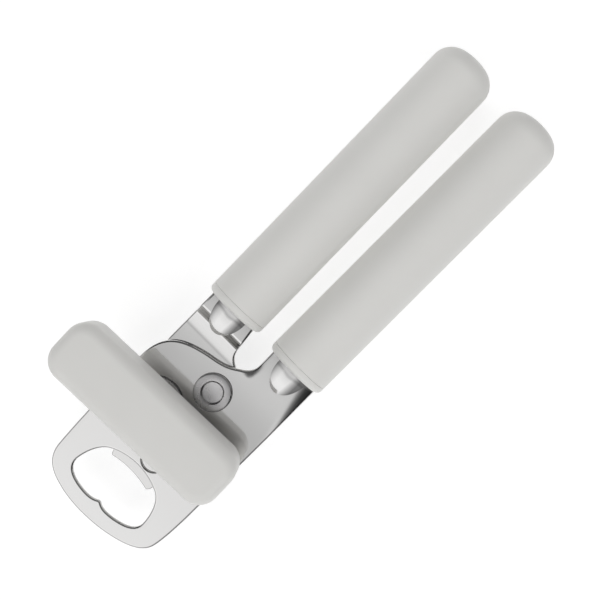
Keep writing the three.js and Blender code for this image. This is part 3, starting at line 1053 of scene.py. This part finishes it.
def rear_sheet(sizes):
    """The rear arm: flat behind the front one, then bent forward to the handle's middle."""
    back = -SHEET / 2 - SHEET_STEP
    arm = sheet([rear_outline()], back, back + SHEET, sizes.plate_edge, ARM_EDGE_STEPS)
    first, last = 10.0, 21.0
    sliced(arm, 0, first, last, 0.25, first)
    for corner in arm.verts:
        corner.co.z += step_rise(corner.co.x)
    return channelled(arm, "upper")


class OPENER_OT_arms(bpy.types.Operator):
    """Makes the two polished sheet steel arms"""

    bl_idname = "can_opener.arms"
    bl_label = "Arms"

    def execute(self, context):
        sizes = context.scene.can_opener_sizes
        steel = material_named("polished_sheet", polished_steel)
        finish_piece(
            front_sheet(sizes), "front_arm_sheet", "front_arm", steel, "front_plate",
            ARM_CREASE,
        )
        finish_piece(
            rear_sheet(sizes), "rear_arm_sheet", "rear_arm", steel, "rear_plate",
            ARM_CREASE,
        )
        return {"FINISHED"}


# -------------------------------------------------------------------------------------------------
# Pivot
# -------------------------------------------------------------------------------------------------


def rivet(sizes):
    """Pivot rivet: a flat ring of a head with a shallow round recess, and a formed back end."""
    bottom, top = heights("pivot_rivet")
    radius = radius_of("pivot_rivet")
    head_bottom = SHEET / 2 + GAP / 2
    recess, depth = 4.1, 0.9
    shank, back_radius, back_top = 4.0, 5.2, bottom + 1.2
    corners = [
        (0, bottom, 0),
        (back_radius, bottom, 0.5),
        (back_radius, back_top, 0.15),
        (shank, back_top, 0),
        (shank, head_bottom, 0),
        (radius, head_bottom, 0.15),
        (radius, top, 0.65),
        (recess, top, 0.35),
        (recess - 0.35, top - depth, 0.25),
        (0, top - depth, 0),
    ]
    return turned(rounded(corners, 6), sizes.around)


class OPENER_OT_pivot(bpy.types.Operator):
    """Makes the pivot rivet and the washer behind it"""

    bl_idname = "can_opener.pivot"
    bl_label = "Pivot"

    def execute(self, context):
        sizes = context.scene.can_opener_sizes
        steel = steel_around("pivot", Vector((0, 0, 0)))
        finish_piece(
            rivet(sizes), "rivet_turned", "front_arm", steel, "pivot_rivet"
        )
        washer = disc(
            RIVET_BORE, radius_of("pivot_washer"), *heights("pivot_washer"), WASHER_EDGE, sizes.around
        )
        finish_piece(
            washer, "rivet_washer_turned", "front_arm", steel, "pivot_washer"
        )
        return {"FINISHED"}


# -------------------------------------------------------------------------------------------------
# Knob
# -------------------------------------------------------------------------------------------------


def oblong(width, length, bottom, top, corner, edge, edge_steps=8):
    """A block, long in Y, with round corners and, if edge isn't 0, round edges front and back."""
    bm = box((-width / 2, -length / 2, bottom), (width / 2, length / 2, top))
    upright = [line for line in bm.edges if abs(line.verts[0].co.z - line.verts[1].co.z) > 0.1]
    bmesh.ops.bevel(
        bm, geom=upright, offset=corner, offset_type="OFFSET", segments=12, profile=0.5,
        affect="EDGES", material=-1, clamp_overlap=False,
    )
    if edge:
        rims = [line for line in bm.edges if abs(line.verts[0].co.z - line.verts[1].co.z) < 0.01]
        bmesh.ops.bevel(
            bm, geom=rims, offset=edge, offset_type="OFFSET", segments=edge_steps, profile=0.5,
            affect="EDGES", material=-1, clamp_overlap=False,
        )
    return bm


def knob_shell(sizes):
    """Soft shell of the knob: a slab with large round edges, open behind for its insert."""
    bottom, top = heights("knob_shell")
    shell = oblong(
        KNOB_SLAB["width"], KNOB_SLAB["length"], bottom, top, sizes.knob_corner, sizes.knob_edge
    )
    room = oblong(
        KNOB_CORE["width"] + 2 * GAP, KNOB_CORE["length"] + 2 * GAP, bottom - 1,
        KNOB_CORE["top"] + GAP, KNOB_CORE["corner"] + GAP, 0,
    )
    return moved(carved(shell, room), Vector((DRIVE.x, DRIVE.y, 0)), KNOB_TURN)


def knob_insert(sizes):
    """Stiff insert of the knob with its stepped hub."""
    bottom, top = heights("knob_core")
    knob_bottom = heights("knob_shell")[0]
    insert = oblong(
        KNOB_CORE["width"], KNOB_CORE["length"], knob_bottom, top, KNOB_CORE["corner"], 0.5, 3
    )
    hub_radius, neck_radius = 9.0, 6.5
    hub_top, neck_top = knob_bottom - GAP, knob_bottom + 0.6
    profile = rounded(
        [
            (KNOB_BORE, bottom, 0.2),
            (hub_radius, bottom, 0.4),
            (hub_radius, hub_top, 0.4),
            (neck_radius, hub_top, 0),
            (neck_radius, neck_top, 0),
            (KNOB_BORE, neck_top, 0),
        ]
    )
    whole = joined(insert, turned(profile, sizes.around))
    return moved(whole, Vector((DRIVE.x, DRIVE.y, 0)), KNOB_TURN)


class OPENER_OT_knob(bpy.types.Operator):
    """Makes the soft shell of the knob, its insert and the washer under it"""

    bl_idname = "can_opener.knob"
    bl_label = "Knob"

    def execute(self, context):
        sizes = context.scene.can_opener_sizes
        finish_piece(
            knob_shell(sizes), "knob_coat", "drive",
            material_named("soft_touch_coat", soft_touch), "knob_shell",
        )
        finish_piece(
            knob_insert(sizes), "knob_insert", "drive",
            material_named("moulded_nylon", moulded_nylon), "knob_core",
        )
        outer = radius_of("knob_washer") - KNOB_WASHER_MARGIN
        washer = disc(KNOB_BORE, outer, *heights("knob_washer"), WASHER_EDGE, sizes.around)
        finish_piece(
            moved(washer, Vector((DRIVE.x, DRIVE.y, 0))), "knob_washer_turned", "drive",
            steel_around("drive", DRIVE), "knob_washer",
        )
        return {"FINISHED"}


# -------------------------------------------------------------------------------------------------
# Drive and cutter
# -------------------------------------------------------------------------------------------------


def gear_outline(offset):
    """Outline of a spur gear with involute flanks. The offset turns it, in tooth pitches."""
    pitch_radius = (DRIVE.y - CUTTER.y) / 2
    module = 2 * pitch_radius / GEAR_TEETH
    addendum, dedendum = 0.85, 1.1
    outer, root = pitch_radius + addendum * module, pitch_radius - dedendum * module
    pressure = math.radians(20)
    base = pitch_radius * math.cos(pressure)
    backlash = math.radians(1.0)
    half_tooth = math.pi / (2 * GEAR_TEETH) - backlash

    def half_angle(radius):
        angle = math.acos(min(1.0, base / radius))
        return half_tooth + math.tan(pressure) - pressure - (math.tan(angle) - angle)

    flank_steps = 6
    flank = [(root, half_angle(base))]
    for step in range(flank_steps + 1):
        radius = base + (outer - base) * step / flank_steps
        flank.append((radius, half_angle(radius)))
    points = []
    for tooth in range(GEAR_TEETH):
        middle = 2 * math.pi * (tooth + offset) / GEAR_TEETH
        sides = [(radius, middle - half) for radius, half in flank]
        sides += [(radius, middle + half) for radius, half in reversed(flank)]
        points += [(radius * math.cos(angle), radius * math.sin(angle)) for radius, angle in sides]
    return points


def square(half):
    """A square hole's outline."""
    return [(half, half), (-half, half), (-half, -half), (half, -half)]


def feed_wheel():
    """Serrated wheel that grips the rim: slanted teeth around a disc."""
    radius = radius_of("feed_wheel")
    depth = 0.9
    tooth = ((radius, -0.08), (radius, 0.08), (radius - depth, 0.42), (radius - depth, 0.58))
    points = []
    for count in range(WHEEL_TEETH):
        for reach, part in tooth:
            angle = 2 * math.pi * (count + part) / WHEEL_TEETH
            points.append((reach * math.cos(angle), reach * math.sin(angle)))
    bottom, top = heights("feed_wheel")
    edge = 0.15
    return sheet([points, square(SQUARE_HOLE)], bottom, top, edge, 2)


def stepped_shaft(sizes):
    """Drive shaft: round journal, square for the gear and the wheel, and a formed end."""
    bottom, top = heights("drive_shaft")
    journal, end_radius, head = 3.5, 4.6, 1.0
    square_half, square_top = 2.45, heights("drive_gear")[1] + 0.2
    overlap, corner = 0.2, 0.3
    head_top = bottom + head
    end = [(0, bottom, 0), (end_radius, bottom, 0.45), (end_radius, head_top, 0.1), (0, head_top, 0)]
    shank = oblong(
        2 * square_half, 2 * square_half, head_top - overlap, square_top, corner, 0
    )
    body_bottom = square_top - overlap
    body = [(0, body_bottom, 0), (journal, body_bottom, 0.2), (journal, top, 0.5), (0, top, 0)]
    return joined(
        turned(rounded(end), sizes.around), shank, turned(rounded(body), sizes.around)
    )


def bush(sizes):
    """Nylon bush that carries the shaft in the front plate, with a flange on each side."""
    bottom, top = heights("shaft_bush")
    bore, sleeve, front_flange, back_flange = 3.6, 5.0, 5.9, 5.5
    profile = rounded(
        [
            (bore, bottom, 0.15),
            (back_flange, bottom, 0.2),
            (back_flange, -SHEET / 2 - GAP, 0.2),
            (sleeve, -SHEET / 2 - GAP, 0),
            (sleeve, SHEET / 2 + GAP, 0),
            (front_flange, SHEET / 2 + GAP, 0.2),
            (front_flange, top, 0.2),
            (bore, top, 0.15),
        ]
    )
    return turned(profile, sizes.around)


class OPENER_OT_drive(bpy.types.Operator):
    """Makes the drive shaft, its bush, gear, feed wheel and end washer"""

    bl_idname = "can_opener.drive"
    bl_label = "Drive"

    def execute(self, context):
        sizes = context.scene.can_opener_sizes
        place = Vector((DRIVE.x, DRIVE.y, 0))
        turned_finish = steel_around("drive", DRIVE)
        tool_finish = material_named("ground_tool_steel", tool_steel)
        finish_piece(
            moved(bush(sizes), place), "shaft_bush_moulded", "front_arm",
            material_named("moulded_nylon", moulded_nylon), "shaft_bush",
        )
        finish_piece(
            moved(stepped_shaft(sizes), place), "shaft_turned", "drive",
            turned_finish, "drive_shaft",
        )
        gear = sheet([gear_outline(0), square(SQUARE_HOLE)], *heights("drive_gear"), GEAR_EDGE, 3)
        finish_piece(
            moved(gear, place), "drive_gear_cut", "drive", tool_finish, "drive_gear"
        )
        finish_piece(
            moved(feed_wheel(), place), "feed_wheel_cut", "drive", tool_finish,
            "feed_wheel",
        )
        stamped_edge = 0.12
        washer = sheet(
            [circle((0, 0), radius_of("shaft_end_washer")), square(SQUARE_HOLE)],
            *heights("shaft_end_washer"), stamped_edge, 2,
        )
        finish_piece(
            moved(washer, place), "shaft_washer_stamped", "drive", turned_finish,
            "shaft_end_washer",
        )
        return {"FINISHED"}


def stud(sizes):
    """Cutter stud: a plain pin with a rounded head."""
    bottom, top = heights("cutter_stud")
    head, shank = radius_of("cutter_stud"), 3.0
    head_top = bottom + 1.1
    corners = [
        (0, bottom, 0),
        (head, bottom, 0.5),
        (head, head_top, 0.1),
        (shank, head_top, 0),
        (shank, top, 0.2),
        (0, top, 0),
    ]
    return turned(rounded(corners), sizes.around)


def blade(sizes):
    """Round blade, hollow at the bore, ground to an edge on the side away from the feed wheel."""
    bottom, top = heights("cutter_wheel")
    edge, grind, land = radius_of("cutter_wheel"), 7.0, 0.15
    corners = [
        (CUTTER_BORE, bottom, 0.15),
        (grind, bottom, 0.3),
        (edge, top - land, 0),
        (edge, top, 0),
        (CUTTER_BORE, top, 0.15),
    ]
    return turned(rounded(corners), 2 * sizes.around)


class OPENER_OT_cutter(bpy.types.Operator):
    """Makes the cutter stud, gear, spacer and blade"""

    bl_idname = "can_opener.cutter"
    bl_label = "Cutter"

    def execute(self, context):
        sizes = context.scene.can_opener_sizes
        place = Vector((CUTTER.x, CUTTER.y, 0))
        turned_finish = steel_around("cutter", CUTTER)
        tool_finish = material_named("ground_tool_steel", tool_steel)
        finish_piece(
            moved(stud(sizes), place), "stud_turned", "rear_arm", turned_finish,
            "cutter_stud",
        )
        gear = sheet(
            [gear_outline(0.5), circle((0, 0), CUTTER_BORE, 48)], *heights("cutter_gear"), GEAR_EDGE, 3
        )
        finish_piece(
            moved(gear, place), "cutter_gear_cut", "cutter", tool_finish, "cutter_gear"
        )
        spacer = disc(
            CUTTER_BORE, radius_of("cutter_spacer"), *heights("cutter_spacer"), WASHER_EDGE, sizes.around
        )
        finish_piece(
            moved(spacer, place), "cutter_spacer_turned", "cutter", turned_finish,
            "cutter_spacer",
        )
        finish_piece(
            moved(blade(sizes), place), "cutter_blade_ground", "cutter",
            steel_around("blade", CUTTER), "cutter_wheel",
        )
        return {"FINISHED"}


# -------------------------------------------------------------------------------------------------
# Stage
# -------------------------------------------------------------------------------------------------


FLOOR_COLOUR = (0.45, 0.45, 0.45, 1.0)
LIGHT_SIDE = 0.8
LIGHT_PLACES = {
    "key": (-0.75, -0.35, 0.62),
    "side": (0.15, -0.8, 0.6),
    "fill": (0.5, 0.65, 0.75),
}


def add_floor(stage):
    """Pale floor that is seen only from above."""
    bm = bmesh.new()
    bmesh.ops.create_grid(bm, x_segments=1, y_segments=1, size=4.0)
    mesh = bpy.data.meshes.new("floor")
    bm.to_mesh(mesh)
    bm.free()
    material, tree, shader, _ = new_material("pale_floor")
    shader.inputs["Base Color"].default_value = FLOOR_COLOUR
    shader.inputs["Roughness"].default_value = 0.9
    shader.inputs["Specular IOR Level"].default_value = 0.1
    shader.inputs["Emission Color"].default_value = (1.0, 1.0, 1.0, 1.0)
    shader.inputs["Emission Strength"].default_value = stage.floor_glow
    side = tree.nodes.new("ShaderNodeNewGeometry")
    clear = tree.nodes.new("ShaderNodeBsdfTransparent")
    mix = tree.nodes.new("ShaderNodeMixShader")
    tree.links.new(side.outputs["Backfacing"], mix.inputs["Fac"])
    tree.links.new(shader.outputs[0], mix.inputs[1])
    tree.links.new(clear.outputs[0], mix.inputs[2])
    tree.links.new(mix.outputs[0], tree.nodes["Material Output"].inputs["Surface"])
    mesh.materials.append(material)
    floor = bpy.data.objects.new("floor", mesh)
    bpy.context.scene.collection.objects.link(floor)


def add_light(name, power):
    """A square soft light that faces the opener. The steel reflects only the surroundings."""
    place = LIGHT_PLACES[name]
    light = bpy.data.lights.new(name, "AREA")
    light.shape = "RECTANGLE"
    light.size = light.size_y = LIGHT_SIDE
    light.energy = power
    lamp = bpy.data.objects.new(name, light)
    lamp.location = place
    lamp.rotation_euler = (-Vector(place)).to_track_quat("-Z", "Y").to_euler()
    lamp.visible_camera = False
    lamp.visible_glossy = False
    bpy.context.scene.collection.objects.link(lamp)


# How bright the studio is along X and along Y: (part of the direction looked in, brightness).
STUDIO_ACROSS = (
    (-1.0, 0.9),
    (-0.6, 1.10),
    (-0.45, 1.10),
    (-0.31, 1.02),
    (-0.23, 0.96),
    (-0.175, 0.55),
    (-0.155, 0.64),
    (-0.13, 0.80),
    (-0.105, 0.76),
    (-0.075, 0.28),
    (-0.03, 0.11),
    (0.06, 0.11),
    (0.6, 0.12),
    (1.0, 0.45),
)
STUDIO_SIDES = (
    (-1.0, 0.50),
    (-0.85, 0.30),
    (-0.7, 0.22),
    (-0.48, 0.55),
    (-0.25, 1.0),
    (0.3, 1.0),
    (0.6, 0.75),
    (0.9, 0.35),
    (1.0, 0.30),
)
STUDIO_BRIGHTEST = 1.2
STUDIO_LOW_SHARE = 0.09


def swept(tree, part, stops):
    """Brightness that follows one part of the direction looked in."""
    share = add_node(tree, "ShaderNodeMapRange", Value=part, From_Min=-1.0, From_Max=1.0)
    ramp = add_node(tree, "ShaderNodeValToRGB", Fac=share.outputs["Result"])
    elements = ramp.color_ramp.elements
    for index, (place, brightness) in enumerate(stops):
        stop = elements[index] if index < 2 else elements.new(0.5 + place / 2)
        stop.position = 0.5 + place / 2
        level = brightness / STUDIO_BRIGHTEST
        stop.color = (level, level, level, 1.0)
    return ramp.outputs["Color"]


def add_world():
    """Soft surroundings, bright beyond the nose and dim beyond the handles, and a pale backdrop."""
    world = bpy.data.worlds.new("studio")
    world.use_nodes = True
    tree = world.node_tree
    direction = tree.nodes.new("ShaderNodeTexCoord").outputs["Generated"]
    parts = add_node(tree, "ShaderNodeSeparateXYZ", Vector=direction)
    across = swept(tree, parts.outputs["X"], STUDIO_ACROSS)
    sides = swept(tree, parts.outputs["Y"], STUDIO_SIDES)
    full = STUDIO_BRIGHTEST**2
    above = add_node(
        tree, "ShaderNodeMapRange", {"interpolation_type": "SMOOTHSTEP"}, Value=parts.outputs["Z"],
        From_Min=0.05, From_Max=0.7, To_Min=STUDIO_LOW_SHARE * full, To_Max=full,
    )
    strength = add_node(
        tree, "ShaderNodeMath", {"operation": "MULTIPLY"}, _0=above.outputs["Result"], _1=sides
    )
    surroundings = tree.nodes["Background"]
    tree.links.new(across, surroundings.inputs["Color"])
    tree.links.new(strength.outputs[0], surroundings.inputs["Strength"])
    backdrop = add_node(tree, "ShaderNodeBackground", Color=(1.0, 1.0, 1.0, 1.0))
    rays = tree.nodes.new("ShaderNodeLightPath")
    mix = tree.nodes.new("ShaderNodeMixShader")
    tree.links.new(rays.outputs["Is Camera Ray"], mix.inputs["Fac"])
    tree.links.new(surroundings.outputs[0], mix.inputs[1])
    tree.links.new(backdrop.outputs[0], mix.inputs[2])
    tree.links.new(mix.outputs[0], tree.nodes["World Output"].inputs["Surface"])
    bpy.context.scene.world = world


def add_camera(stage):
    """Camera in front of the knob side, leaning slightly towards the handles, turned by 45 degrees."""
    data = bpy.data.cameras.new("camera")
    data.sensor_width = 36.0
    data.lens = data.sensor_width / 2 / math.tan(stage.field_of_view / 2)
    data.clip_start, data.clip_end = 0.01, 20.0
    camera = bpy.data.objects.new("camera", data)
    target = Vector((44.9, 1.3, SHEET / 2))
    distance, lean = 356.0, math.radians(2.36)
    back = Vector((math.sin(lean), 0, math.cos(lean)))
    up = Vector((1, 1, 0))
    side = up.cross(back).normalized()
    up = back.cross(side)
    turn = Matrix((side, up, back)).transposed()
    camera.matrix_world = Matrix.Translation(PIVOT + (target + back * distance) * MM) @ turn.to_4x4()
    bpy.context.scene.collection.objects.link(camera)
    bpy.context.scene.camera = camera


class OPENER_OT_stage(bpy.types.Operator):
    """Makes the floor, the lights, the surroundings and the camera"""

    bl_idname = "can_opener.stage"
    bl_label = "Stage"

    def execute(self, context):
        stage = context.scene.can_opener_stage
        context.scene.view_settings.view_transform = "Standard"
        add_floor(stage)
        add_light("key", stage.key_power)
        add_light("side", stage.side_power)
        add_light("fill", stage.fill_power)
        add_world()
        add_camera(stage)
        return {"FINISHED"}


# -------------------------------------------------------------------------------------------------
# Panel and registration
# -------------------------------------------------------------------------------------------------

STEPS = (
    OPENER_OT_arms,
    OPENER_OT_pivot,
    OPENER_OT_handles,
    OPENER_OT_knob,
    OPENER_OT_drive,
    OPENER_OT_cutter,
    OPENER_OT_stage,
)


class OPENER_PT_panel(bpy.types.Panel):
    """Lists the steps that build the opener, and its settings"""

    bl_idname = "OPENER_PT_panel"
    bl_label = "Can Opener"
    bl_space_type = "VIEW_3D"
    bl_region_type = "UI"
    bl_category = "Can Opener"

    def draw(self, context):
        layout = self.layout
        for step in STEPS:
            layout.operator(step.bl_idname)
        for settings in (
            context.scene.can_opener_sizes,
            context.scene.can_opener_colours,
            context.scene.can_opener_stage,
        ):
            column = layout.column(align=True)
            for name in settings.__annotations__:
                column.prop(settings, name)


CLASSES = (OpenerColours, OpenerSizes, OpenerStage, *STEPS, OPENER_PT_panel)


def register():
    """Registers the classes and their settings on the scene."""
    for cls in CLASSES:
        bpy.utils.register_class(cls)
    bpy.types.Scene.can_opener_colours = PointerProperty(type=OpenerColours)
    bpy.types.Scene.can_opener_sizes = PointerProperty(type=OpenerSizes)
    bpy.types.Scene.can_opener_stage = PointerProperty(type=OpenerStage)


def unregister():
    """Takes the settings and the classes away again."""
    del bpy.types.Scene.can_opener_stage
    del bpy.types.Scene.can_opener_sizes
    del bpy.types.Scene.can_opener_colours
    for cls in reversed(CLASSES):
        bpy.utils.unregister_class(cls)


def main():
    register()
    bpy.ops.can_opener.arms()
    bpy.ops.can_opener.pivot()
    bpy.ops.can_opener.handles()
    bpy.ops.can_opener.knob()
    bpy.ops.can_opener.drive()
    bpy.ops.can_opener.cutter()
    bpy.ops.can_opener.stage()
    bpy.context.view_layer.update()


if __name__ == "__main__":
    main()
